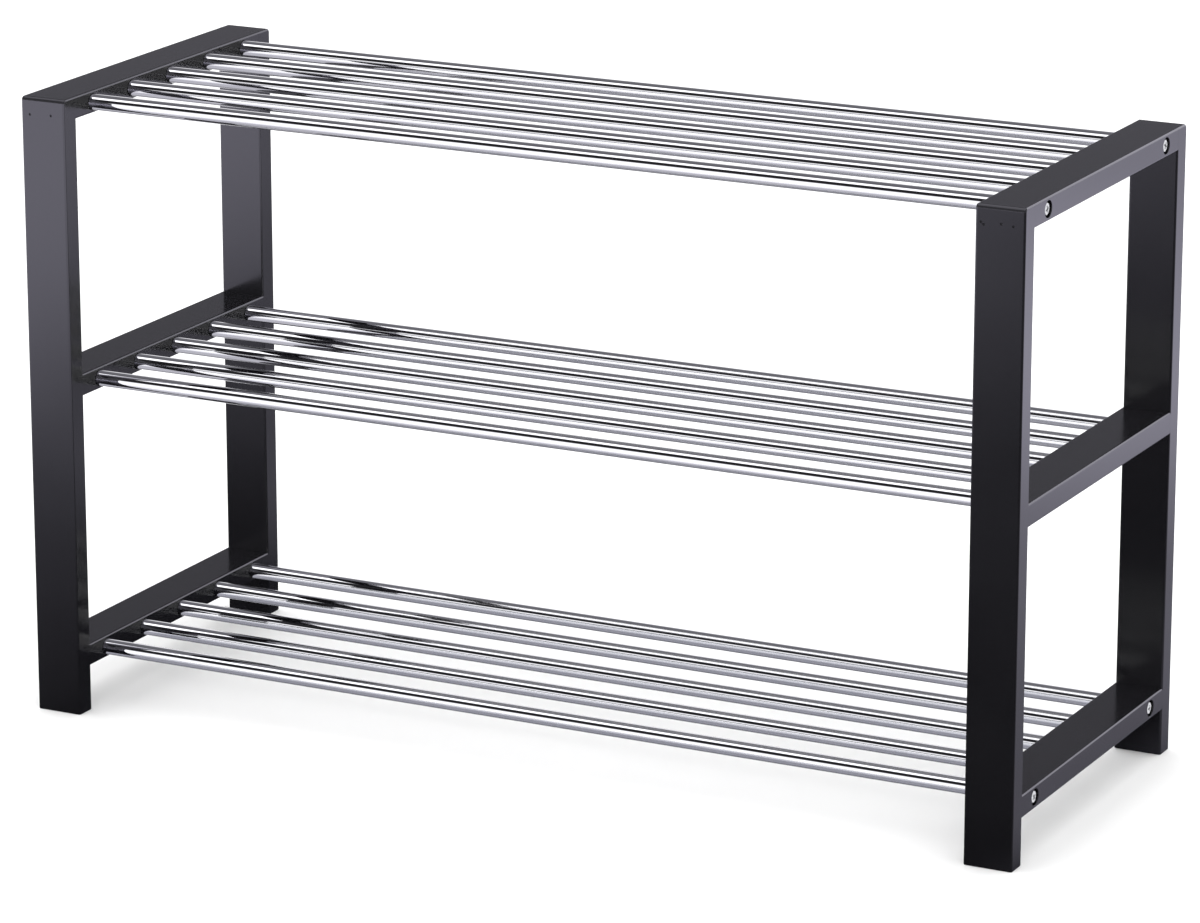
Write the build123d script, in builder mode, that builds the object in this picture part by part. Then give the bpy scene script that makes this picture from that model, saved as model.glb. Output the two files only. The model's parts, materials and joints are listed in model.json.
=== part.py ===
from build123d import *
import os

os.makedirs("parts", exist_ok=True)

# ---------------------------------------------------------------------------
# Three-shelf shoe rack: two ladder-shaped side frames of lacquered MDF joined
# by fifteen chrome-plated steel tubes.
#
# Frame of reference: X runs along the rack from the left side frame to the
# right one, Y runs from front to rear, Z is up. The origin is on the floor,
# under the middle of the rack. Millimetres.
# ---------------------------------------------------------------------------

# overall size
RACK_LENGTH = 800.0
RACK_DEPTH = 300.0
RACK_HEIGHT = 475.0

# side frames: legs and rails are cut from one board
BOARD_T = 17.0            # board thickness (Y on the legs, Z on the rails)
BOARD_W = 37.0            # width of legs and rails along X
EDGE_R = 1.6              # rounding of the long edges
CORNER_R = 3.0            # rounding of the two upper corners of a side frame
FOOT_CHAMFER = 0.8        # bevel round the underside of a leg

# shelves: height of the tube axes, which is the middle of each rail
SHELF_PITCH = 211.5
TOP_Z = RACK_HEIGHT - BOARD_T / 2
MIDDLE_Z = TOP_Z - SHELF_PITCH
BOTTOM_Z = MIDDLE_Z - SHELF_PITCH
SHELVES = (("top", TOP_Z), ("middle", MIDDLE_Z), ("bottom", BOTTOM_Z))

# shelf tubes
TUBE_D = 12.0
TUBE_WALL = 1.0
TUBE_PITCH = 55.0
TUBE_COUNT = 5
SOCKET_D = 12.4           # blind hole in the rail's inner face
SOCKET_DEPTH = 12.2
TUBE_END_GAP = 0.2        # between tube end and socket floor
TUBE_Y = [(i - (TUBE_COUNT - 1) / 2) * TUBE_PITCH for i in range(TUBE_COUNT)]
OUTER_TUBES = (TUBE_Y[0], TUBE_Y[-1])    # the two that are bolted through

# pan-head machine screws M5 x 35 in counterbores, outer face of the rails
SCREW_D = 4.95
SCREW_LENGTH = 35.0
SCREW_HEAD_D = 9.6
SCREW_HEAD_H = 3.4
RECESS_WIDTH = 1.1        # arm of the cross recess
RECESS_SPAN = 4.8
RECESS_DEPTH = 2.2
COUNTERBORE_D = 12.4
COUNTERBORE_DEPTH = 4.2
CLEARANCE_D = 5.6

# threaded plugs pressed into the ends of the four corner tubes
PLUG_D = 9.9
PLUG_LENGTH = 22.0
PLUG_HOLE_D = 5.05
PLUG_GROOVE = 0.5

# glued dowels, two at each end of each rail
DOWEL_D = 6.0
DOWEL_LENGTH = 25.0
DOWEL_HOLE_D = 6.2
DOWEL_IN_LEG = 10.0
DOWEL_IN_RAIL = DOWEL_LENGTH - DOWEL_IN_LEG
DOWEL_SPACING = 13.0
DOWEL_END_GAP = 0.2

# brads through the legs into the ends of the top rails
BRAD_D = 1.2
BRAD_HEAD_D = 1.7
BRAD_HEAD_H = 0.9
BRAD_LENGTH = 30.0
BRAD_HOLE_D = 1.3
BRAD_SINK = 0.5           # depth of the brad head under the lacquered face
BRAD_DIMPLE_D = 1.9
# (distance from the outer face, height) of each brad; the rear ones are even
LEFT_FRONT_BRADS = ((7.4, 461.8), (25.6, 462.4))
RIGHT_FRONT_BRADS = ((8.7, 461.6), (17.7, 462.6), (30.6, 461.2), (32.6, 462.6))
REAR_BRADS = ((8.0, 462.0), (29.0, 462.0))

LEG_Y = RACK_DEPTH / 2 - BOARD_T / 2          # middle plane of a leg
JOINT_Y = RACK_DEPTH / 2 - BOARD_T            # plane where rail meets leg
RAIL_LENGTH = RACK_DEPTH - 2 * BOARD_T
OUTER_X = RACK_LENGTH / 2
INNER_X = OUTER_X - BOARD_W
CENTRE_X = OUTER_X - BOARD_W / 2


def facing(x, y, z, normal):
    """Work plane at a point of a face, with the face's outward normal."""
    return Plane(origin=(x, y, z), z_dir=normal)


def brads_of(side, end):
    """Brads of one leg as (x, height): side -1 left, +1 right; end -1 front."""
    if end > 0:
        marks = REAR_BRADS
    else:
        marks = LEFT_FRONT_BRADS if side < 0 else RIGHT_FRONT_BRADS
    return [(side * (OUTER_X - offset), z) for offset, z in marks]


def dowel_xs(side):
    return [side * CENTRE_X - DOWEL_SPACING / 2, side * CENTRE_X + DOWEL_SPACING / 2]


for side_name, side in (("left", -1), ("right", 1)):

    # -- outline of a whole side frame, rounded as one piece ----------------
    # It is cut into legs and rails below, so the rounding runs cleanly round
    # the inside corners of the windows.
    with BuildPart() as frame_outline:
        with BuildSketch(Plane.YZ.offset(side * CENTRE_X)) as outline:
            with Locations((0, RACK_HEIGHT / 2)):
                Rectangle(RACK_DEPTH, RACK_HEIGHT)
            fillet(outline.vertices().group_by(Axis.Y)[-1], CORNER_R)
            for low, high in ((MIDDLE_Z, TOP_Z), (BOTTOM_Z, MIDDLE_Z)):
                with Locations((0, (low + high) / 2)):
                    Rectangle(RAIL_LENGTH, SHELF_PITCH - BOARD_T, mode=Mode.SUBTRACT)
            foot_gap = BOTTOM_Z - BOARD_T / 2
            with Locations((0, foot_gap / 2)):
                Rectangle(RAIL_LENGTH, foot_gap, mode=Mode.SUBTRACT)
        extrude(amount=BOARD_W / 2, both=True)
        long_edges = (
            frame_outline.edges().group_by(Axis.X)[0]
            + frame_outline.edges().group_by(Axis.X)[-1]
        ).filter_by(lambda e: e.center().Z > 0.01)
        fillet(long_edges, EDGE_R)
        foot_edges = frame_outline.faces().group_by(Axis.Z)[0].edges()
        chamfer(foot_edges, FOOT_CHAMFER)

    # -- legs ---------------------------------------------------------------
    for leg_name, end in (("front_leg", -1), ("rear_leg", 1)):
        with BuildPart() as leg:
            add(frame_outline.part)
            with Locations((side * CENTRE_X, end * LEG_Y, RACK_HEIGHT / 2)):
                Box(BOARD_W + 2, BOARD_T, RACK_HEIGHT + 2, mode=Mode.INTERSECT)
            # blind dowel holes in the inner face, at the three rails
            with Locations(
                *[
                    facing(x, end * JOINT_Y, z, (0, -end, 0))
                    for x in dowel_xs(side)
                    for _, z in SHELVES
                ]
            ):
                Hole(DOWEL_HOLE_D / 2, depth=DOWEL_IN_LEG + DOWEL_END_GAP)
            # brads from the front or rear face into the top rail
            with Locations(
                *[
                    facing(x, end * RACK_DEPTH / 2, z, (0, end, 0))
                    for x, z in brads_of(side, end)
                ]
            ):
                CounterBoreHole(
                    BRAD_HOLE_D / 2,
                    BRAD_DIMPLE_D / 2,
                    BRAD_SINK + BRAD_HEAD_H,
                    depth=BOARD_T,
                )
        leg.part.label = f"{side_name}_{leg_name}"
        export_step(leg.part, f"parts/{leg.part.label}.step")

    # -- rails --------------------------------------------------------------
    for shelf_name, z in SHELVES:
        with BuildPart() as rail:
            add(frame_outline.part)
            with Locations((side * CENTRE_X, 0, z)):
                Box(BOARD_W + 2, RAIL_LENGTH, BOARD_T + 2, mode=Mode.INTERSECT)
            # blind sockets for the tubes, in the inner face
            with Locations(*[facing(side * INNER_X, y, z, (-side, 0, 0)) for y in TUBE_Y]):
                Hole(SOCKET_D / 2, depth=SOCKET_DEPTH)
            # bolted rails: counterbored holes in the outer face
            if shelf_name != "middle":
                with Locations(
                    *[facing(side * OUTER_X, y, z, (side, 0, 0)) for y in OUTER_TUBES]
                ):
                    CounterBoreHole(
                        CLEARANCE_D / 2,
                        COUNTERBORE_D / 2,
                        COUNTERBORE_DEPTH,
                        depth=BOARD_W - SOCKET_DEPTH,
                    )
            # dowel holes in both ends
            with Locations(
                *[
                    facing(x, end * JOINT_Y, z, (0, end, 0))
                    for x in dowel_xs(side)
                    for end in (-1, 1)
                ]
            ):
                Hole(DOWEL_HOLE_D / 2, depth=DOWEL_IN_RAIL + DOWEL_END_GAP)
            # brad holes in both ends of the top rail
            if shelf_name == "top":
                with Locations(
                    *[
                        facing(x, end * JOINT_Y, bz, (0, end, 0))
                        for end in (-1, 1)
                        for x, bz in brads_of(side, end)
                    ]
                ):
                    Hole(
                        BRAD_HOLE_D / 2,
                        depth=BRAD_LENGTH + BRAD_SINK - BOARD_T + 0.2,
                    )
        rail.part.label = f"{side_name}_{shelf_name}_rail"
        export_step(rail.part, f"parts/{rail.part.label}.step")

    # -- pan-head screws, four per side frame -------------------------------
    seat_x = side * (OUTER_X - COUNTERBORE_DEPTH)
    screw_points = [(y, z) for z in (TOP_Z, BOTTOM_Z) for y in OUTER_TUBES]
    with BuildPart() as screws:
        # shank, from under the head into the plug
        with BuildSketch(Plane.YZ.offset(seat_x)):
            with Locations(*screw_points):
                Circle(SCREW_D / 2)
        extrude(amount=-side * SCREW_LENGTH)
        chamfer(
            screws.edges().filter_by(GeomType.CIRCLE).group_by(Axis.X)[0 if side > 0 else -1],
            0.6,
        )
        # head
        with BuildSketch(Plane.YZ.offset(seat_x)):
            with Locations(*screw_points):
                Circle(SCREW_HEAD_D / 2)
        extrude(amount=side * SCREW_HEAD_H)
        crown = screws.edges().filter_by(GeomType.CIRCLE).group_by(Axis.X)[-1 if side > 0 else 0]
        fillet(crown, 1.3)
        # cross recess
        with BuildSketch(Plane.YZ.offset(seat_x + side * SCREW_HEAD_H)):
            with Locations(*screw_points):
                Rectangle(RECESS_SPAN, RECESS_WIDTH, rotation=20)
                Rectangle(RECESS_WIDTH, RECESS_SPAN, rotation=20)
        extrude(amount=-side * RECESS_DEPTH, taper=12, mode=Mode.SUBTRACT)
    screws.part.label = f"{side_name}_screws"
    export_step(screws.part, f"parts/{screws.part.label}.step")

    # -- threaded plugs in the ends of the corner tubes ----------------------
    plug_x = side * (INNER_X + SOCKET_DEPTH - TUBE_END_GAP)
    with BuildPart() as plugs:
        with BuildSketch(Plane.YZ.offset(plug_x)):
            with Locations(*screw_points):
                Circle(PLUG_D / 2)
        extrude(amount=-side * PLUG_LENGTH)
        # two grip grooves round each plug
        for step in (PLUG_LENGTH / 3, 2 * PLUG_LENGTH / 3):
            with BuildSketch(Plane.YZ.offset(plug_x - side * step)):
                with Locations(*screw_points):
                    Circle(PLUG_D / 2 + 1)
                    Circle(PLUG_D / 2 - PLUG_GROOVE, mode=Mode.SUBTRACT)
            extrude(amount=-side * 2.0, mode=Mode.SUBTRACT)
        with BuildSketch(Plane.YZ.offset(plug_x)):
            with Locations(*screw_points):
                Circle(PLUG_HOLE_D / 2)
        extrude(amount=-side * PLUG_LENGTH, mode=Mode.SUBTRACT)
    plugs.part.label = f"{side_name}_tube_plugs"
    export_step(plugs.part, f"parts/{plugs.part.label}.step")

    # -- dowels, two at each rail end ----------------------------------------
    with BuildPart() as dowels:
        for end in (-1, 1):
            with BuildSketch(Plane.XZ.offset(-end * (JOINT_Y + DOWEL_IN_LEG))):
                with Locations(*[(x, z) for x in dowel_xs(side) for _, z in SHELVES]):
                    Circle(DOWEL_D / 2)
            extrude(amount=end * DOWEL_LENGTH)
        chamfer(dowels.edges().filter_by(GeomType.CIRCLE), 0.5)
    dowels.part.label = f"{side_name}_dowels"
    export_step(dowels.part, f"parts/{dowels.part.label}.step")

    # -- brads of the top rail -----------------------------------------------
    with BuildPart() as brads:
        for end in (-1, 1):
            head_y = end * (RACK_DEPTH / 2 - BRAD_SINK)
            points = brads_of(side, end)
            with BuildSketch(Plane.XZ.offset(-head_y)):
                with Locations(*points):
                    Circle(BRAD_D / 2)
            extrude(amount=end * BRAD_LENGTH)
            with BuildSketch(Plane.XZ.offset(-head_y)):
                with Locations(*points):
                    Circle(BRAD_HEAD_D / 2)
            extrude(amount=end * BRAD_HEAD_H)
    brads.part.label = f"{side_name}_brads"
    export_step(brads.part, f"parts/{brads.part.label}.step")

# -- shelf tubes, front to rear on each shelf ----------------------------------
TUBE_LENGTH = 2 * (INNER_X + SOCKET_DEPTH - TUBE_END_GAP)
for shelf_name, z in SHELVES:
    for number, y in enumerate(TUBE_Y, start=1):
        with BuildPart() as tube:
            with BuildSketch(Plane.YZ.offset(-TUBE_LENGTH / 2)):
                with Locations((y, z)):
                    Circle(TUBE_D / 2)
                    Circle(TUBE_D / 2 - TUBE_WALL, mode=Mode.SUBTRACT)
            extrude(amount=TUBE_LENGTH)
        tube.part.label = f"{shelf_name}_tube_{number}"
        export_step(tube.part, f"parts/{tube.part.label}.step")

print(f"tube length {TUBE_LENGTH:.1f}, shelves at {TOP_Z}, {MIDDLE_Z}, {BOTTOM_Z}")
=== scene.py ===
import bpy, bmesh, math, json
from mathutils import Vector, Matrix

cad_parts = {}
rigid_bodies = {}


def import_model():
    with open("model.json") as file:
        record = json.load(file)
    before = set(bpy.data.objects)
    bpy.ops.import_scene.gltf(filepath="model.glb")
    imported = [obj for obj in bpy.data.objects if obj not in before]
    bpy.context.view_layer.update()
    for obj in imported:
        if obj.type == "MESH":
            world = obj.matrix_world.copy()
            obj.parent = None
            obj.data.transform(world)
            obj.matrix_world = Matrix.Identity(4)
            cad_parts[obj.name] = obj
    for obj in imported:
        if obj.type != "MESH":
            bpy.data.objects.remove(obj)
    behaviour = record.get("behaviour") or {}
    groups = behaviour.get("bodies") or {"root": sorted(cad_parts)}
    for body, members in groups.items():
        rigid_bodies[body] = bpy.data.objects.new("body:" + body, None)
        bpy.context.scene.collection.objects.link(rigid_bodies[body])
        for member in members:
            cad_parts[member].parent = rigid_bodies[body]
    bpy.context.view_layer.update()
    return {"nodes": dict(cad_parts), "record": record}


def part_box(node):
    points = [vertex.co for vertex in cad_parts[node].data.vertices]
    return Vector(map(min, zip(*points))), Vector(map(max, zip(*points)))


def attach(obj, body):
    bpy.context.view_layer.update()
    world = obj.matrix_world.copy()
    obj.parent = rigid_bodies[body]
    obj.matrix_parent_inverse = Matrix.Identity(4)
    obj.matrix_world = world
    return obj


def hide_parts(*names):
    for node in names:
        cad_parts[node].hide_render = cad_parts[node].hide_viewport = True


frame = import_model()
NODES = frame["nodes"]
scene = bpy.context.scene
MM = 0.001
SLOT_OF = {s["node"]: s["material_slot"] for s in frame["record"]["subparts"]}


# ------------------------------------------------------------ node helpers
def new_material(name):
    m = bpy.data.materials.new(name)
    m.use_nodes = True
    nt = m.node_tree
    nt.nodes.clear()
    return m, nt


class Tree:
    """Small helper for writing node trees."""

    def __init__(self, nt):
        self.nt = nt

    def add(self, kind, **inputs):
        n = self.nt.nodes.new(kind)
        for k, v in inputs.items():
            setattr(n, k, v)
        return n

    def link(self, a, b):
        self.nt.links.new(a, b)

    def math(self, op, a, b=None, c=None, clamp=False):
        n = self.add("ShaderNodeMath", operation=op, use_clamp=clamp)
        for i, v in enumerate((a, b, c)):
            if v is None:
                continue
            if isinstance(v, (int, float)):
                n.inputs[i].default_value = v
            else:
                self.link(v, n.inputs[i])
        return n.outputs[0]

    def noise(self, vector, scale, detail=2.0, rough=0.5, dims="3D"):
        n = self.add("ShaderNodeTexNoise", noise_dimensions=dims)
        n.inputs["Scale"].default_value = scale
        n.inputs["Detail"].default_value = detail
        n.inputs["Roughness"].default_value = rough
        self.link(vector, n.inputs["Vector"])
        return n.outputs["Fac"]

    def ramp(self, fac, stops, interp="LINEAR"):
        n = self.add("ShaderNodeValToRGB")
        n.color_ramp.interpolation = interp
        els = n.color_ramp.elements
        while len(els) > 1:
            els.remove(els[-1])
        els[0].position, els[0].color = stops[0][0], stops[0][1]
        for p, c in stops[1:]:
            e = els.new(p)
            e.color = c
        self.link(fac, n.inputs["Fac"])
        return n.outputs["Color"]

    def map_range(self, v, a, b, c, d, interp="LINEAR"):
        n = self.add("ShaderNodeMapRange", interpolation_type=interp)
        n.inputs["From Min"].default_value = a
        n.inputs["From Max"].default_value = b
        n.inputs["To Min"].default_value = c
        n.inputs["To Max"].default_value = d
        self.link(v, n.inputs["Value"])
        return n.outputs["Result"]

    def bump(self, height, strength, distance, normal=None):
        n = self.add("ShaderNodeBump")
        n.inputs["Strength"].default_value = strength
        n.inputs["Distance"].default_value = distance
        self.link(height, n.inputs["Height"])
        if normal is not None:
            self.link(normal, n.inputs["Normal"])
        return n.outputs["Normal"]

    def stretched(self, vector, scale):
        n = self.add("ShaderNodeMapping")
        n.inputs["Scale"].default_value = scale
        self.link(vector, n.inputs["Vector"])
        return n.outputs["Vector"]


def principled(t, **sockets):
    b = t.add("ShaderNodeBsdfPrincipled")
    for k, v in sockets.items():
        k = k.replace("_", " ")
        if hasattr(v, "is_output"):
            t.link(v, b.inputs[k])
        else:
            b.inputs[k].default_value = v
    out = t.add("ShaderNodeOutputMaterial")
    t.link(b.outputs[0], out.inputs["Surface"])
    return b


def grey(v, a=1.0):
    return (v, v, v, a)


# ---------------------------------------------------------------- materials
def lacquer_material():
    m, nt = new_material("black_lacquer")
    t = Tree(nt)
    pos = t.add("ShaderNodeTexCoord").outputs["Object"]
    # slight unevenness of the sprayed coat: tone, gloss and orange peel
    cloud = t.noise(pos, 9.0, 3.0, 0.55)
    fine = t.noise(pos, 520.0, 2.0, 0.5)
    peel = t.noise(pos, 210.0, 1.0, 0.4)
    tone = t.ramp(cloud, [(0.3, (0.0035, 0.0034, 0.0042, 1)), (0.7, (0.0051, 0.0050, 0.0060, 1))])
    rough = t.map_range(t.math("ADD", t.math("MULTIPLY", cloud, 0.6), t.math("MULTIPLY", fine, 0.4)), 0.3, 0.7, 0.13, 0.20)
    height = t.math("ADD", t.math("MULTIPLY", peel, 0.7), t.math("MULTIPLY", fine, 0.3))
    n = t.bump(height, 0.04, 0.0001)
    principled(t, Base_Color=tone, Roughness=rough, IOR=1.5, Normal=n)
    return m


def chrome_material():
    m, nt = new_material("chrome_tube")
    t = Tree(nt)
    pos = t.add("ShaderNodeTexCoord").outputs["Object"]
    # polishing marks run round the tube and a faint haze lies along it
    along = t.noise(t.stretched(pos, (6.0, 60.0, 60.0)), 1.0, 2.0, 0.5)
    haze = t.noise(t.stretched(pos, (14.0, 90.0, 90.0)), 1.0, 3.0, 0.6)
    tone = t.ramp(haze, [(0.3, (0.79, 0.79, 0.815, 1)), (0.75, (0.84, 0.84, 0.86, 1))])
    rough = t.map_range(haze, 0.3, 0.8, 0.015, 0.04)
    n = t.bump(along, 0.006, 0.0005)
    principled(t, Base_Color=tone, Metallic=1.0, Roughness=rough, Normal=n)
    return m


def zinc_material():
    m, nt = new_material("zinc_screw")
    t = Tree(nt)
    pos = t.add("ShaderNodeTexCoord").outputs["Object"]
    spots = t.noise(pos, 900.0, 3.0, 0.6)
    tone = t.ramp(spots, [(0.3, (0.58, 0.59, 0.61, 1)), (0.7, (0.72, 0.72, 0.73, 1))])
    rough = t.map_range(spots, 0.3, 0.7, 0.18, 0.32)
    n = t.bump(spots, 0.2, 0.00005)
    principled(t, Base_Color=tone, Metallic=1.0, Roughness=rough, Normal=n)
    return m


def nylon_material():
    m, nt = new_material("black_nylon")
    t = Tree(nt)
    pos = t.add("ShaderNodeTexCoord").outputs["Object"]
    g = t.noise(pos, 1200.0, 2.0)
    tone = t.ramp(g, [(0.3, (0.012, 0.012, 0.012, 1)), (0.7, (0.022, 0.022, 0.022, 1))])
    rough = t.map_range(g, 0.3, 0.7, 0.48, 0.62)
    n = t.bump(g, 0.2, 0.00005)
    principled(t, Base_Color=tone, Roughness=rough, Normal=n)
    return m


def beech_material():
    m, nt = new_material("beech_dowel")
    t = Tree(nt)
    pos = t.add("ShaderNodeTexCoord").outputs["Object"]
    grain = t.noise(t.stretched(pos, (900.0, 60.0, 900.0)), 1.0, 4.0, 0.6)
    tone = t.ramp(grain, [(0.3, (0.42, 0.26, 0.14, 1)), (0.7, (0.62, 0.43, 0.26, 1))])
    rough = t.map_range(grain, 0.3, 0.7, 0.52, 0.68)
    n = t.bump(grain, 0.3, 0.0001)
    principled(t, Base_Color=tone, Roughness=rough, Normal=n)
    return m


def brad_material():
    m, nt = new_material("steel_brad")
    t = Tree(nt)
    pos = t.add("ShaderNodeTexCoord").outputs["Object"]
    g = t.noise(pos, 1500.0, 2.0)
    tone = t.ramp(g, [(0.3, (0.003, 0.003, 0.003, 1)), (0.7, (0.009, 0.008, 0.009, 1))])
    rough = t.map_range(g, 0.3, 0.7, 0.45, 0.6)
    n = t.bump(g, 0.3, 0.00005)
    principled(t, Base_Color=tone, Roughness=rough, Normal=n)
    return m


MAT = {
    "black_lacquer": lacquer_material(),
    "chrome_tube": chrome_material(),
    "zinc_screw": zinc_material(),
    "black_nylon": nylon_material(),
    "beech_dowel": beech_material(),
    "steel_brad": brad_material(),
}
for name, obj in NODES.items():
    for slot in obj.material_slots:
        slot.material = MAT[SLOT_OF[name]]


# ------------------------------------------------------------ mesh helpers
def finish_mesh(bm, name, node, slot, sharp=32.0, weighted=True):
    """Turn a bmesh into the piece that stands for a CAD node."""
    bmesh.ops.remove_doubles(bm, verts=bm.verts, dist=2e-7)
    bmesh.ops.recalc_face_normals(bm, faces=bm.faces)
    for f in bm.faces:
        f.smooth = True
    for e in bm.edges:
        e.smooth = not (len(e.link_faces) == 2 and e.calc_face_angle(0) > math.radians(sharp))
    me = bpy.data.meshes.new(name + "_mesh")
    bm.to_mesh(me)
    bm.free()
    ob = bpy.data.objects.new(name, me)
    scene.collection.objects.link(ob)
    me.materials.append(MAT[slot])
    if weighted:
        w = ob.modifiers.new("even_normals", "WEIGHTED_NORMAL")
        w.mode, w.weight, w.keep_sharp = "FACE_AREA", 50, True
    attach(ob, "root")
    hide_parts(node)
    return ob


def lathe(bm, origin, axis, profile, segments):
    """Closed solid of revolution. profile: (distance along axis, radius)."""
    axis = Vector(axis).normalized()
    side = axis.orthogonal().normalized()
    up = axis.cross(side)
    rings = []
    for d, r in profile:
        if r < 1e-9:
            rings.append([bm.verts.new(origin + axis * d)])
            continue
        rings.append([
            bm.verts.new(origin + axis * d + (side * math.cos(a) + up * math.sin(a)) * r)
            for a in (2 * math.pi * k / segments for k in range(segments))
        ])
    for a, b in zip(rings, rings[1:]):
        for k in range(segments):
            j = (k + 1) % segments
            if len(a) == 1:
                bm.faces.new((a[0], b[j], b[k]))
            elif len(b) == 1:
                bm.faces.new((a[k], a[j], b[0]))
            else:
                bm.faces.new((a[k], a[j], b[j], b[k]))
    return rings


def cut(bm, cutter):
    """Subtract one bmesh from another with Blender's exact boolean."""
    bmesh.ops.recalc_face_normals(cutter, faces=cutter.faces)
    bmesh.ops.recalc_face_normals(bm, faces=bm.faces)
    meshes, objs = [], []
    for nm, b in (("work", bm), ("tool", cutter)):
        me = bpy.data.meshes.new(nm)
        b.to_mesh(me)
        b.free()
        ob = bpy.data.objects.new(nm, me)
        scene.collection.objects.link(ob)
        meshes.append(me)
        objs.append(ob)
    mod = objs[0].modifiers.new("cut", "BOOLEAN")
    mod.operation, mod.solver, mod.object = "DIFFERENCE", "EXACT", objs[1]
    bpy.context.view_layer.update()
    deps = bpy.context.evaluated_depsgraph_get()
    result = bpy.data.meshes.new_from_object(objs[0].evaluated_get(deps))
    out = bmesh.new()
    out.from_mesh(result)
    bpy.data.meshes.remove(result)
    for ob in objs:
        bpy.data.objects.remove(ob)
    for me in meshes:
        bpy.data.meshes.remove(me)
    return out


# ------------------------------------------------------------- side frames
EDGE_R, CORNER_R, FOOT_BEVEL = 1.6 * MM, 3.0 * MM, 0.8 * MM
SOCKET_R, SOCKET_DEPTH = 6.2 * MM, 12.2 * MM
BORE_R, BORE_DEPTH, CLEAR_R = 6.2 * MM, 4.2 * MM, 2.8 * MM
DOWEL_R, DOWEL_IN_LEG, DOWEL_IN_RAIL = 3.1 * MM, 10.2 * MM, 15.2 * MM
LIP = 0.35 * MM
BRAD_R, DIMPLE_R, DIMPLE_DEPTH = 0.65 * MM, 0.95 * MM, 1.4 * MM


def outline_half(end, box, rails):
    """Comb-shaped half of a side frame in the YZ plane, as (y, z) points."""
    y_out, y_in = end * box["out"], end * box["in"]
    pts = [(y_out, 0.0), (y_out, box["top"])]
    for lo, hi in rails:
        pts += [(0.0, hi), (0.0, lo), (y_in, lo)]
        nxt = [h for l, h in rails if h < lo]
        if nxt:
            pts += [(y_in, max(nxt))]
    pts += [(y_in, 0.0)]
    # the first rail's top is the frame's top
    return pts


def side_frame(x0, x1, box, rails):
    bm = bmesh.new()
    cache = {}

    def vert(x, y, z):
        key = (round(x, 6), round(y, 6), round(z, 6))
        if key not in cache:
            cache[key] = bm.verts.new((x, y, z))
        return cache[key]

    for end in (-1, 1):
        pts = outline_half(end, box, rails)
        for x in (x0, x1):
            bm.faces.new([vert(x, y, z) for y, z in pts])
        for (ya, za), (yb, zb) in zip(pts, pts[1:] + pts[:1]):
            if ya == 0.0 and yb == 0.0:
                continue
            bm.faces.new([vert(x0, ya, za), vert(x1, ya, za), vert(x1, yb, zb), vert(x0, yb, zb)])
    bmesh.ops.recalc_face_normals(bm, faces=bm.faces)
    # upper corners
    top = [e for e in bm.edges if all(v.co.z > box["top"] - 1e-6 and abs(v.co.y) > box["out"] - 1e-6 for v in e.verts)]
    bmesh.ops.bevel(bm, geom=top, offset=CORNER_R, offset_type="OFFSET", segments=10, profile=0.5, affect="EDGES", clamp_overlap=False)
    # long edges
    def is_long(e):
        if len(e.link_faces) != 2:
            return False
        flags = [abs(abs(f.normal.x) - 1) < 1e-4 for f in e.link_faces]
        return flags[0] != flags[1] and sum(v.co.z for v in e.verts) > 1e-5
    edges = [e for e in bm.edges if is_long(e)]
    bmesh.ops.bevel(bm, geom=edges, offset=EDGE_R, offset_type="OFFSET", segments=7, profile=0.5, affect="EDGES", clamp_overlap=False)
    # undersides of the feet
    bm.normal_update()
    feet = [f for f in bm.faces if f.normal.z < -0.999 and f.calc_center_median().z < 1e-6]
    rim = [e for f in feet for e in f.edges]
    bmesh.ops.bevel(bm, geom=list(set(rim)), offset=FOOT_BEVEL, offset_type="OFFSET", segments=3, profile=0.5, affect="EDGES", clamp_overlap=False)
    bmesh.ops.remove_doubles(bm, verts=bm.verts, dist=1e-7)
    return bm


def part_at(source, y, keep_outside):
    """Cut a copy of the frame at |y| and close the cut faces."""
    bm = source.copy()
    for end in ((-1, 1) if not keep_outside else (keep_outside,)):
        plane = end * y
        outward = Vector((0, end, 0))
        bmesh.ops.bisect_plane(
            bm, geom=bm.verts[:] + bm.edges[:] + bm.faces[:], dist=1e-6,
            plane_co=(0, plane, 0), plane_no=outward,
            clear_outer=not keep_outside, clear_inner=bool(keep_outside),
        )
        if not keep_outside:
            flat = [f for f in bm.faces if all(abs(v.co.y - plane) < 2e-6 for v in f.verts)]
            bmesh.ops.delete(bm, geom=flat, context="FACES")
        open_edges = [e for e in bm.edges if len(e.link_faces) == 1]
        bmesh.ops.holes_fill(bm, edges=open_edges, sides=0)
    loose = [v for v in bm.verts if not v.link_faces]
    bmesh.ops.delete(bm, geom=loose, context="VERTS")
    return bm


def flared(depth, radius, lip, above=1.0 * MM, steps=4):
    """Profile of a hole cutter whose mouth is rounded over by lip."""
    prof = [(-above, 0.0), (-above, radius + lip), (0.0, radius + lip)]
    for i in range(1, steps + 1):
        a = math.pi / 2 * i / steps
        prof.append((lip * (1 - math.cos(a)), radius + lip * (1 - math.sin(a))))
    prof += [(depth, radius), (depth, 0.0)]
    return prof


def drill(cutter, x, y, z, direction, profile, segments=48):
    lathe(cutter, Vector((x, y, z)), direction, profile, segments)


LEFT_FRONT_BRADS = ((7.4, 461.8), (25.6, 462.4))
RIGHT_FRONT_BRADS = ((8.7, 461.6), (17.7, 462.6), (30.6, 461.2), (32.6, 462.6))
REAR_BRADS = ((8.0, 462.0), (29.0, 462.0))

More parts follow.
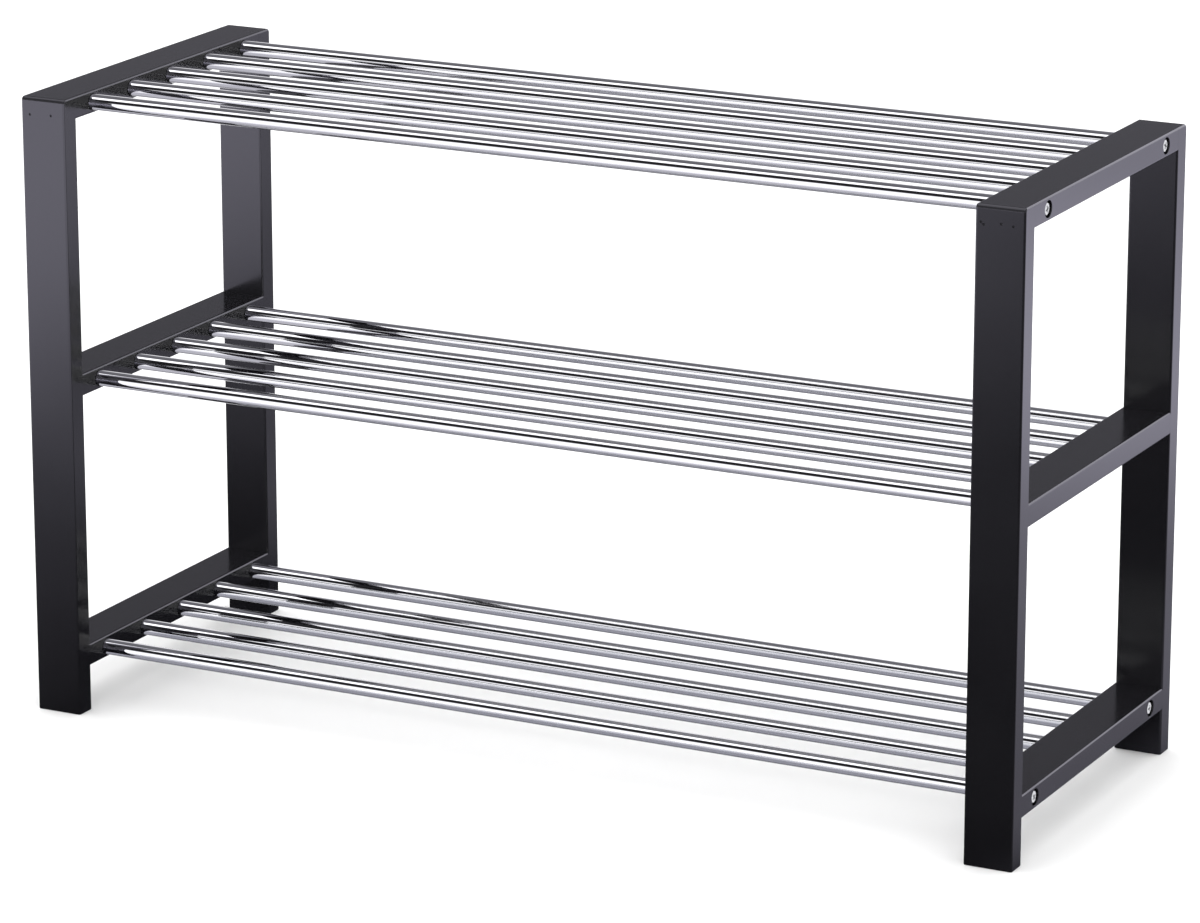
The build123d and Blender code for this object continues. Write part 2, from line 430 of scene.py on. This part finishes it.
for side_name, side in (("left", -1), ("right", 1)):
    leg_lo, leg_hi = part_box(side_name + "_front_leg")
    x0, x1 = leg_lo.x, leg_hi.x
    outer_x = x1 if side > 0 else x0
    inner_x = x0 if side > 0 else x1
    rail_boxes = {n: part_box(f"{side_name}_{n}_rail") for n in ("top", "middle", "bottom")}
    rails = [(rail_boxes[n][0].z, rail_boxes[n][1].z) for n in ("top", "middle", "bottom")]
    joint_y = rail_boxes["top"][1].y
    out_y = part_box(side_name + "_rear_leg")[1].y
    box = {"out": out_y, "in": joint_y, "top": leg_hi.z}
    dowel_lo, dowel_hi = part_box(side_name + "_dowels")
    dowel_xs = (dowel_lo.x + 3.0 * MM, dowel_hi.x - 3.0 * MM)
    whole = side_frame(x0, x1, box, rails)

    def brad_marks(end):
        marks = REAR_BRADS if end > 0 else (LEFT_FRONT_BRADS if side < 0 else RIGHT_FRONT_BRADS)
        return [(outer_x - side * off * MM, z * MM) for off, z in marks]

    for leg_name, end in (("front_leg", -1), ("rear_leg", 1)):
        bm = part_at(whole, joint_y, end)
        tool = bmesh.new()
        for x in dowel_xs:
            for lo, hi in rails:
                drill(tool, x, end * joint_y, (lo + hi) / 2, (0, end, 0), flared(DOWEL_IN_LEG, DOWEL_R, 0.15 * MM), 32)
        for x, z in brad_marks(end):
            depth = DIMPLE_DEPTH
            prof = flared(depth, DIMPLE_R, 0.12 * MM)[:-1]
            prof += [(depth, BRAD_R), (18.0 * MM, BRAD_R), (18.0 * MM, 0.0)]
            drill(tool, x, end * out_y, z, (0, -end, 0), prof, 20)
        bm = cut(bm, tool)
        finish_mesh(bm, f"{side_name}_{leg_name}_board", f"{side_name}_{leg_name}", "black_lacquer")

    for rail_name in ("top", "middle", "bottom"):
        lo, hi = rail_boxes[rail_name]
        z = (lo.z + hi.z) / 2
        bm = part_at(whole, joint_y, 0)
        # keep this rail only
        far = [v for v in bm.verts if not (lo.z - 1e-5 < v.co.z < hi.z + 1e-5)]
        bmesh.ops.delete(bm, geom=far, context="VERTS")
        # softened ends: a hairline where the rail meets the legs
        bm.normal_update()
        rim = {e for f in bm.faces if abs(f.normal.y) > 0.999 for e in f.edges}
        bmesh.ops.bevel(bm, geom=list(rim), offset=0.10 * MM, offset_type="OFFSET", segments=2, profile=0.5, affect="EDGES", clamp_overlap=False)
        tube_ys = []
        tool = bmesh.new()
        for i in range(1, 6):
            tlo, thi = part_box(f"{rail_name}_tube_{i}")
            ty = (tlo.y + thi.y) / 2
            tube_ys.append(ty)
            drill(tool, inner_x, ty, z, (side, 0, 0), flared(SOCKET_DEPTH, SOCKET_R, LIP), 64)
        for x in dowel_xs:
            for end in (-1, 1):
                drill(tool, x, end * joint_y, z, (0, -end, 0), flared(DOWEL_IN_RAIL, DOWEL_R, 0.15 * MM), 32)
        if rail_name == "top":
            for end in (-1, 1):
                for x, bz in brad_marks(end):
                    drill(tool, x, end * joint_y, bz, (0, -end, 0), [(-MM, 0.0), (-MM, BRAD_R), (13.7 * MM, BRAD_R), (13.7 * MM, 0.0)], 16)
        bm = cut(bm, tool)
        if rail_name != "middle":
            tool = bmesh.new()
            for ty in (tube_ys[0], tube_ys[-1]):
                prof = flared(BORE_DEPTH, BORE_R, LIP)[:-1]
                prof += [(BORE_DEPTH, CLEAR_R), (abs(outer_x - inner_x) - SOCKET_DEPTH + 1.0 * MM, CLEAR_R),
                         (abs(outer_x - inner_x) - SOCKET_DEPTH + 1.0 * MM, 0.0)]
                drill(tool, outer_x, ty, z, (-side, 0, 0), prof, 64)
            bm = cut(bm, tool)
        finish_mesh(bm, f"{side_name}_{rail_name}_rail_board", f"{side_name}_{rail_name}_rail", "black_lacquer")
    whole.free()


# -------------------------------------------------------------------- tubes
def make_tube(node):
    lo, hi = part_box(node)
    y, z = (lo.y + hi.y) / 2, (lo.z + hi.z) / 2
    r_out, wall, segments = 6.0 * MM, 1.0 * MM, 96
    # profile from the outer end bevel, along the outside, and back inside
    xs = [lo.x, lo.x + 0.1 * MM, lo.x + 0.3 * MM]
    n_along = 60
    xs += [lo.x + (hi.x - lo.x) * i / n_along for i in range(1, n_along)]
    xs += [hi.x - 0.3 * MM, hi.x - 0.1 * MM, hi.x]
    rs = [r_out - 0.3 * MM, r_out - 0.1 * MM] + [r_out] * (len(xs) - 4) + [r_out - 0.1 * MM, r_out - 0.3 * MM]
    inner = [(hi.x, r_out - wall + 0.1 * MM), (hi.x - 0.1 * MM, r_out - wall), (lo.x + 0.1 * MM, r_out - wall), (lo.x, r_out - wall + 0.1 * MM)]
    profile = list(zip(xs, rs)) + inner
    bm = bmesh.new()
    rings = []
    for x, r in profile:
        ring = []
        for k in range(segments):
            a = 2 * math.pi * k / segments
            ring.append(bm.verts.new((x, y + r * math.cos(a), z + r * math.sin(a))))
        rings.append(ring)
    for a, b in zip(rings, rings[1:] + rings[:1]):
        for k in range(segments):
            j = (k + 1) % segments
            bm.faces.new((a[k], a[j], b[j], b[k]))
    return finish_mesh(bm, node + "_chrome", node, "chrome_tube")


for name in sorted(NODES):
    if "_tube_" in name and SLOT_OF[name] == "chrome_tube":
        make_tube(name)


# ------------------------------------------------------------------- screws
def threaded_screw(bm, seat, out):
    """Pan-head M5 x 35 screw: domed head, helical thread, softened tip."""
    segments, pitch, length = 40, 0.8 * MM, 35.0 * MM
    major, minor = 2.475 * MM, 2.06 * MM
    side = Vector((0, 1, 0))
    up = Vector((0, 0, 1))
    rows = []

    def ring(d, radius):
        rows.append([
            bm.verts.new(seat + out * d + (side * math.cos(a) + up * math.sin(a)) * (radius(a) if callable(radius) else radius))
            for a in (2 * math.pi * k / segments for k in range(segments))
        ])

    top = bm.verts.new(seat + out * 3.40 * MM)
    for d, r in ((3.395, 1.2), (3.37, 2.3), (3.32, 3.0)):
        ring(d * MM, r * MM)
    for i in range(0, 8):
        a = math.radians(78 - 78 * i / 7)
        ring((2.1 + 1.25 * math.sin(a)) * MM, (3.5 + 1.3 * math.cos(a)) * MM)
    for d, r in ((1.0, 4.8), (0.25, 4.8), (0.0, 4.6), (0.0, 2.9), (-0.25, 2.475), (-1.2, 2.475)):
        ring(d * MM, r * MM)
    step = pitch / 5
    d = -1.2 * MM - step
    while d > -length + 0.9 * MM:
        def radius(a, d=d):
            phase = (d / pitch - a / (2 * math.pi)) % 1.0
            return minor + (major - minor) * max(0.0, 1 - abs(phase - 0.5) * 2.3)
        ring(d, radius)
        d -= step
    ring(-length + 0.6 * MM, minor)
    ring(-length, minor - 0.45 * MM)
    tip = bm.verts.new(seat - out * length)
    for k in range(segments):
        j = (k + 1) % segments
        bm.faces.new((top, rows[0][k], rows[0][j]))
        bm.faces.new((tip, rows[-1][j], rows[-1][k]))
        for a, b in zip(rows, rows[1:]):
            bm.faces.new((a[k], b[k], b[j], a[j]))


def cross_cutter(bm, seat, out, turn):
    """Tapered cross recess of a screw head."""
    side = Vector((0, 1, 0))
    up = out.cross(side)
    c, s = math.cos(turn), math.sin(turn)
    loops = []
    for d, span, width in ((3.9, 2.75, 0.78), (3.4, 2.60, 0.70), (1.2, 1.40, 0.45)):
        pts = [(width, span), (width, width), (span, width), (span, -width), (width, -width), (width, -span),
               (-width, -span), (-width, -width), (-span, -width), (-span, width), (-width, width), (-width, span)]
        loops.append([
            bm.verts.new(seat + out * d * MM + side * (p * c - q * s) * MM + up * (p * s + q * c) * MM) for p, q in pts
        ])
    bm.faces.new(loops[0])
    bm.faces.new(list(reversed(loops[-1])))
    for a, b in zip(loops, loops[1:]):
        for k in range(12):
            j = (k + 1) % 12
            bm.faces.new((a[k], a[j], b[j], b[k]))


for side_name, side in (("left", -1), ("right", 1)):
    node = side_name + "_screws"
    lo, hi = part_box(node)
    out = Vector((side, 0, 0))
    head_x = hi.x if side > 0 else lo.x
    seat_x = head_x - side * 3.4 * MM
    bm, tool = bmesh.new(), bmesh.new()
    for n, rail_name in enumerate(("top", "bottom")):
        for m, i in enumerate((1, 5)):
            tlo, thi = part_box(f"{rail_name}_tube_{i}")
            seat = Vector((seat_x, (tlo.y + thi.y) / 2, (tlo.z + thi.z) / 2))
            threaded_screw(bm, seat, out)
            # each screw stopped at its own angle
            cross_cutter(tool, seat, out, math.radians((20, 63, 38, 5)[2 * n + m]))
    bm = cut(bm, tool)
    finish_mesh(bm, node + "_zinc", node, "zinc_screw", sharp=40.0, weighted=False)


# ------------------------------------------------------------------- dowels
for side_name, side in (("left", -1), ("right", 1)):
    node = side_name + "_dowels"
    lo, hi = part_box(node)
    xs = (lo.x + 3.0 * MM, hi.x - 3.0 * MM)
    bm = bmesh.new()
    for rail_name in ("top", "middle", "bottom"):
        rlo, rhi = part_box(f"{side_name}_{rail_name}_rail")
        z = (rlo.z + rhi.z) / 2
        for x in xs:
            for y0, y1 in ((lo.y, lo.y + 25.0 * MM), (hi.y - 25.0 * MM, hi.y)):
                # pressed flutes run along the dowel, its ends are bevelled
                segments, r = 48, 3.0 * MM
                rows = []
                for y, scale, flute in ((y0, 0.80, 0), (y0 + 0.7 * MM, 0.99, 0), (y0 + 1.2 * MM, 1.0, 1), (y1 - 1.2 * MM, 1.0, 1), (y1 - 0.7 * MM, 0.99, 0), (y1, 0.80, 0)):
                    rows.append([
                        bm.verts.new((x + rad * math.cos(a), y, z + rad * math.sin(a)))
                        for a, rad in (
                            (2 * math.pi * k / segments, r * scale - (0.18 * MM * (k % 4 == 0) if flute else 0.0))
                            for k in range(segments)
                        )
                    ])
                bm.faces.new(rows[0])
                bm.faces.new(list(reversed(rows[-1])))
                for a, b in zip(rows, rows[1:]):
                    for k in range(segments):
                        j = (k + 1) % segments
                        bm.faces.new((a[k], a[j], b[j], b[k]))
    finish_mesh(bm, node + "_beech", node, "beech_dowel", sharp=35.0, weighted=False)


# -------------------------------------------------------------------- stage
# Two sets of soft reflections: one for the bright metal, one for the lacquer.
# Both are plain glowing surfaces that only glossy rays see.
LACQUER_SET = bpy.data.collections.new("lacquer_receivers")
LEFT_SET = bpy.data.collections.new("left_lacquer_receivers")
RIGHT_SET = bpy.data.collections.new("right_lacquer_receivers")
METAL_SET = bpy.data.collections.new("metal_receivers")
METALS = (MAT["chrome_tube"], MAT["zinc_screw"])
for o in list(bpy.data.objects):
    if o.type == "MESH" and o.material_slots:
        if o.material_slots[0].material in METALS:
            METAL_SET.objects.link(o)
        else:
            LACQUER_SET.objects.link(o)
            (LEFT_SET if o.name.startswith("left") else RIGHT_SET).objects.link(o)


def glow(name, mesh, receivers, through):
    """Make a mesh a glossy-only glowing stage surface. Returns (object, tree,
    emission node). With through, rays go on to what is behind it."""
    ob = bpy.data.objects.new(name, mesh)
    scene.collection.objects.link(ob)
    m, nt = new_material(name + "_glow")
    t = Tree(nt)
    e = t.add("ShaderNodeEmission")
    e.inputs["Strength"].default_value = 1.0
    out = t.add("ShaderNodeOutputMaterial")
    if through:
        clear = t.add("ShaderNodeBsdfTransparent")
        both = t.add("ShaderNodeAddShader")
        t.link(e.outputs[0], both.inputs[0])
        t.link(clear.outputs[0], both.inputs[1])
        t.link(both.outputs[0], out.inputs["Surface"])
    else:
        t.link(e.outputs[0], out.inputs["Surface"])
    m.cycles.emission_sampling = "NONE"
    mesh.materials.append(m)
    ob.visible_camera = ob.visible_diffuse = ob.visible_shadow = False
    ob.visible_transmission = ob.visible_volume_scatter = False
    if receivers is not None:
        ob.light_linking.receiver_collection = receivers
    return ob, t, e


def quad(name, size, z):
    me = bpy.data.meshes.new(name)
    me.from_pydata([(-size, -size, z), (size, -size, z), (size, size, z), (-size, size, z)], [], [(0, 1, 2, 3)])
    return me


def ball(name, radius):
    me = bpy.data.meshes.new(name)
    b = bmesh.new()
    bmesh.ops.create_uvsphere(b, u_segments=64, v_segments=32, radius=radius)
    b.to_mesh(me)
    b.free()
    return me


def axes(t):
    pos = t.add("ShaderNodeTexCoord").outputs["Object"]
    sep = t.add("ShaderNodeSeparateXYZ")
    t.link(pos, sep.inputs[0])
    return sep.outputs["X"], sep.outputs["Y"], sep.outputs["Z"]


def tinted(t, value, tint):
    n = t.add("ShaderNodeVectorMath", operation="SCALE")
    n.inputs[0].default_value = tint
    t.link(value, n.inputs["Scale"])
    return n.outputs[0]


# floor that the camera sees: plain and pale
me = quad("floor", 60.0, 0.0)
floor = bpy.data.objects.new("floor", me)
scene.collection.objects.link(floor)
m, nt = new_material("floor_paint")
t = Tree(nt)
pos = t.add("ShaderNodeTexCoord").outputs["Object"]
speck = t.noise(pos, 3.0, 2.0)
tone = t.ramp(speck, [(0.3, grey(0.86)), (0.7, grey(0.88))])
principled(t, Base_Color=tone, Roughness=0.9)
me.materials.append(m)
floor.visible_glossy = False

# world: plain pale surroundings
world = bpy.data.worlds.new("studio")
scene.world = world
world.use_nodes = True
bg = world.node_tree.nodes["Background"]
bg.inputs["Color"].default_value = (1.0, 1.0, 1.0, 1)
bg.inputs["Strength"].default_value = 1.7

# --- what the metal sees: bands of light running along the rack ------------
# angle from straight up towards the front, in degrees: brightness
METAL_BANDS = [
    (-180, 0.50), (-165, 0.42), (-150, 0.22), (-140, 0.25), (-124, 1.15), (-68, 1.15), (-52, 0.20), (5, 0.13), (14, 2.0), (31, 2.0),
    (38, 0.02), (71, 0.02), (78, 1.4), (120, 1.3), (132, 0.82), (147, 0.52), (162, 0.60), (180, 0.58),
]
ob, t, e = glow("metal_room", ball("metal_room", 14.0), METAL_SET, False)
x, y, z = axes(t)
angle = t.math("MULTIPLY", t.math("ARCTAN2", t.math("MULTIPLY", y, -1.0), z), 180.0 / math.pi)
fac = t.map_range(angle, -180.0, 180.0, 0.0, 1.0)
stops = []
for a, v in METAL_BANDS:
    lilac = 1.0 if v < 1.0 else 0.25
    stops.append(((a + 180) / 360.0, (v * (1 - 0.01 * lilac), v * (1 - 0.02 * lilac), v * (1 + 0.08 * lilac), 1)))
bands = t.ramp(fac, stops)
# a reflection of a reflection gets the same light evened out, which keeps thin
# second reflections calm
even = t.ramp(fac, [(0.0, grey(0.55)), (0.1, grey(0.75)), (0.42, grey(0.75)), (0.5, grey(0.4)), (0.75, grey(0.45)), (0.92, grey(0.4)), (1.0, grey(0.55))])
again = t.math("GREATER_THAN", t.add("ShaderNodeLightPath").outputs["Ray Depth"], 1.5)
pick = t.add("ShaderNodeMix", data_type="RGBA")
t.link(again, pick.inputs[0])
t.link(bands, pick.inputs[6])
t.link(even, pick.inputs[7])
t.link(pick.outputs[2], e.inputs["Color"])

# --- what the lacquer sees ---------------------------------------------------
# overhead and level directions
ob, t, e = glow("lacquer_room", ball("lacquer_room", 13.0), LACQUER_SET, True)
x, y, z = axes(t)
up = t.math("DIVIDE", z, 13.0)
level = t.ramp(t.map_range(up, -1.0, 1.0, 0.0, 1.0), [
    (0.0, grey(0.0)), (0.44, grey(0.0)), (0.485, grey(0.45)), (0.55, grey(0.27)), (0.607, grey(0.222)), (0.631, grey(0.203)), (0.66, grey(0.195)), (0.80, grey(0.17)), (0.86, grey(0.4)), (0.90, grey(1.5)), (1.0, grey(1.8))])
# brighter low down behind to the right and in front: only rounded edges catch it
ux, uy = t.math("DIVIDE", x, 13.0), t.math("DIVIDE", y, 13.0)
low = t.math("MULTIPLY", t.map_range(up, 0.0, 0.06, 0.0, 1.0, "SMOOTHSTEP"), t.map_range(up, 0.50, 0.62, 1.0, 0.0, "SMOOTHSTEP"))
behind = t.math("MULTIPLY", t.map_range(ux, -0.18, 0.02, 0.0, 2.2, "SMOOTHSTEP"), t.map_range(uy, 0.25, 0.45, 0.0, 1.0, "SMOOTHSTEP"))
ahead = t.map_range(uy, -0.10, -0.30, 0.0, 0.45, "SMOOTHSTEP")
level = t.math("ADD", level, t.math("MULTIPLY", low, t.math("ADD", behind, ahead)))
t.link(tinted(t, level, (0.97, 0.95, 1.08)), e.inputs["Color"])



def clamped(t, v, lo, hi):
    return t.math("MINIMUM", t.math("MAXIMUM", v, lo), hi)


def product(t, *terms):
    out = terms[0]
    for v in terms[1:]:
        out = t.math("MULTIPLY", out, v)
    return out


def mixed(t, a, b, f):
    """a where f is 0, b where f is 1."""
    return t.math("ADD", t.math("MULTIPLY", a, t.math("SUBTRACT", 1.0, f)), t.math("MULTIPLY", b, f))


def profile(t, v, points, top):
    """Curve through (position, level) points; levels run up to top."""
    lo, hi = points[0][0], points[-1][0]
    fac = t.map_range(v, lo, hi, 0.0, 1.0)
    return t.math("MULTIPLY", t.ramp(fac, [((p - lo) / (hi - lo), grey(q / top)) for p, q in points]), top)


def front_floor(t, x, y):
    """In front of the rack: light falls off towards the rack and to the right."""
    x, y = clamped(t, x, -1.3, 0.45), clamped(t, y, -1.6, 0.0)
    xx, xy, yy = product(t, x, x), product(t, x, y), product(t, y, y)
    terms = (x, y, xx, xy, yy, product(t, xx, x), product(t, xx, y), product(t, yy, x), product(t, yy, y))
    total = -3.7302
    for c, v in zip((-0.7412, -4.1559, 2.8211, 1.7058, -3.2993, 0.9026, 1.1528, 0.7022, -1.1447), terms):
        total = t.math("ADD", total, t.math("MULTIPLY", v, c))
    return clamped(t, t.math("EXPONENT", total), 0.04, 2.6)


OUTER_SIDE = [
    (-0.1, 0.40), (-0.06, 0.42), (0.05, 0.42), (0.18, 0.49), (0.22, 0.52), (0.375, 0.64), (0.465, 0.75),
    (0.57, 0.77), (0.735, 1.07), (0.8, 1.19), (0.865, 1.34), (0.935, 1.50), (1.09, 1.74),
    (1.24, 1.77), (1.3, 1.77), (1.435, 1.69), (1.51, 1.67), (1.585, 1.55), (2.0, 1.30)]
INNER_SIDE = [(-0.1, 0.08), (0.07, 0.08), (0.22, 0.13), (0.35, 0.38), (0.465, 0.52), (0.6, 0.46), (0.8, 0.45), (1.1, 0.45), (2.0, 0.45)]

LEFT_REACH = [
    (0.0, 1.18), (0.2, 1.12), (0.35, 1.04), (0.5, 0.86), (0.66, 0.76), (0.8, 0.78), (0.98, 0.82), (1.12, 0.87), (1.33, 0.94), (1.55, 1.10), (2.0, 1.12)]

# the floor: dim beside the rack, brighter to the front left and rear right;
# the light comes from near the rack, so each side frame has its own picture
for label, receivers, height in (("left", LEFT_SET, 0.0005), ("right", RIGHT_SET, 0.0008)):
    ob, t, e = glow(label + "_lacquer_floor", quad(label + "_lacquer_floor", 9.0, height), receivers, True)
    x, y, z = axes(t)
    if label == "left":
        # round the front legs' inner corners the light stays as on their fronts
        px, py = t.math("ADD", x, 0.36), t.math("ADD", y, 0.15)
        r = t.math("SQRT", t.math("ADD", product(t, px, px), product(t, py, py)))
        turned = front_floor(t, t.math("SUBTRACT", t.math("MULTIPLY", r, -0.4527), 0.36), t.math("SUBTRACT", t.math("MULTIPLY", r, -0.8917), 0.15))
        past = t.math("SUBTRACT", px, t.math("MULTIPLY", py, 0.5077))
        plain = t.math("MULTIPLY", front_floor(t, x, y), profile(t, r, LEFT_REACH, 2.0))
        front = mixed(t, plain, turned, t.map_range(past, -0.02, 0.02, 0.0, 1.0, "SMOOTHSTEP"))
    else:
        front = front_floor(t, x, y)
    # beside and behind: brighter away from the rack
    reach = t.math("ADD", 0.08, t.math("MULTIPLY", t.math("MAXIMUM", y, 0.0), 0.3))
    across = clamped(t, t.math("DIVIDE", t.math("SUBTRACT", x, 0.36), reach), 0.0, 1.0)
    # a little dimmer towards the rear leg
    lag = t.math("SUBTRACT", t.math("MULTIPLY", t.math("ADD", y, 0.15), 0.4118), t.math("SUBTRACT", x, 0.4))
    near = t.map_range(x, 0.40, 0.52, 1.0, 0.0)
    change = t.math("MULTIPLY", t.map_range(lag, 0.0, 0.14, 0.0, 1.0), t.math("SUBTRACT", near, 0.19))
    outer = t.math("MULTIPLY", profile(t, y, OUTER_SIDE, 2.5), t.math("ADD", 1.0, change))
    rear = mixed(t, profile(t, y, INNER_SIDE, 2.5), outer, across)
    value = mixed(t, front, rear, t.map_range(y, -0.22, -0.10, 0.0, 1.0, "SMOOTHSTEP"))
    t.link(tinted(t, value, (0.95, 0.92, 1.12)), e.inputs["Color"])

# the rack's own shade on the floor, for both
me = quad("shade", 1.2, 0.0012)
ob = bpy.data.objects.new("shade", me)
scene.collection.objects.link(ob)
m, nt = new_material("shade_film")
t = Tree(nt)
x, y, z = axes(t)
dx = t.math("MAXIMUM", t.math("SUBTRACT", t.math("ABSOLUTE", x), 0.36), 0.0)
dy = t.math("MAXIMUM", t.math("SUBTRACT", t.math("ABSOLUTE", y), 0.20), 0.0)
d = t.math("SQRT", t.math("ADD", t.math("MULTIPLY", dx, dx), t.math("MULTIPLY", dy, dy)))
film = t.add("ShaderNodeBsdfTransparent")
t.link(t.ramp(t.map_range(d, 0.0, 0.06, 0.0, 1.0, "SMOOTHSTEP"), [(0.0, (0.60, 0.61, 0.63, 1)), (1.0, grey(1.0))]), film.inputs["Color"])
out = t.add("ShaderNodeOutputMaterial")
t.link(film.outputs[0], out.inputs["Surface"])
me.materials.append(m)
ob.visible_camera = ob.visible_diffuse = ob.visible_shadow = False
ob.visible_transmission = ob.visible_volume_scatter = False


def area_light(name, location, target, size, size_y, power):
    d = bpy.data.lights.new(name, "AREA")
    d.shape = "RECTANGLE"
    d.size, d.size_y, d.energy = size, size_y, power
    o = bpy.data.objects.new(name, d)
    scene.collection.objects.link(o)
    o.location = location
    o.rotation_mode = "QUATERNION"
    o.rotation_quaternion = (Vector(target) - Vector(location)).to_track_quat("-Z", "Y")
    o.visible_camera = False
    o.visible_glossy = False
    return o


area_light("key", (-0.4, 0.4, 2.4), (0.0, 0.0, 0.0), 3.0, 2.0, 8.0)

# ------------------------------------------------------------------- camera
cam_data = bpy.data.cameras.new("camera")
cam = bpy.data.objects.new("camera", cam_data)
scene.collection.objects.link(cam)
scene.camera = cam
cam_data.sensor_width = 36.0
cam_data.sensor_fit = "HORIZONTAL"
cam_data.lens = 5520.0 / 1200.0 * 36.0
cam_data.dof.use_dof = False
AZ, EL = math.radians(26.92), math.radians(15.91)
back = Vector((math.sin(AZ) * math.cos(EL), -math.cos(AZ) * math.cos(EL), math.sin(EL)))
aim = Vector((0.0021, 0.0, 0.2088))
cam.location = aim + back * 4.091
cam.rotation_mode = "QUATERNION"
cam.rotation_quaternion = (-back).to_track_quat("-Z", "Y")
cam_data.clip_start, cam_data.clip_end = 0.05, 200.0

scene.view_settings.view_transform = "Standard"
scene.view_settings.look = "None"
scene.view_settings.exposure = 0.0
scene.view_settings.gamma = 1.0
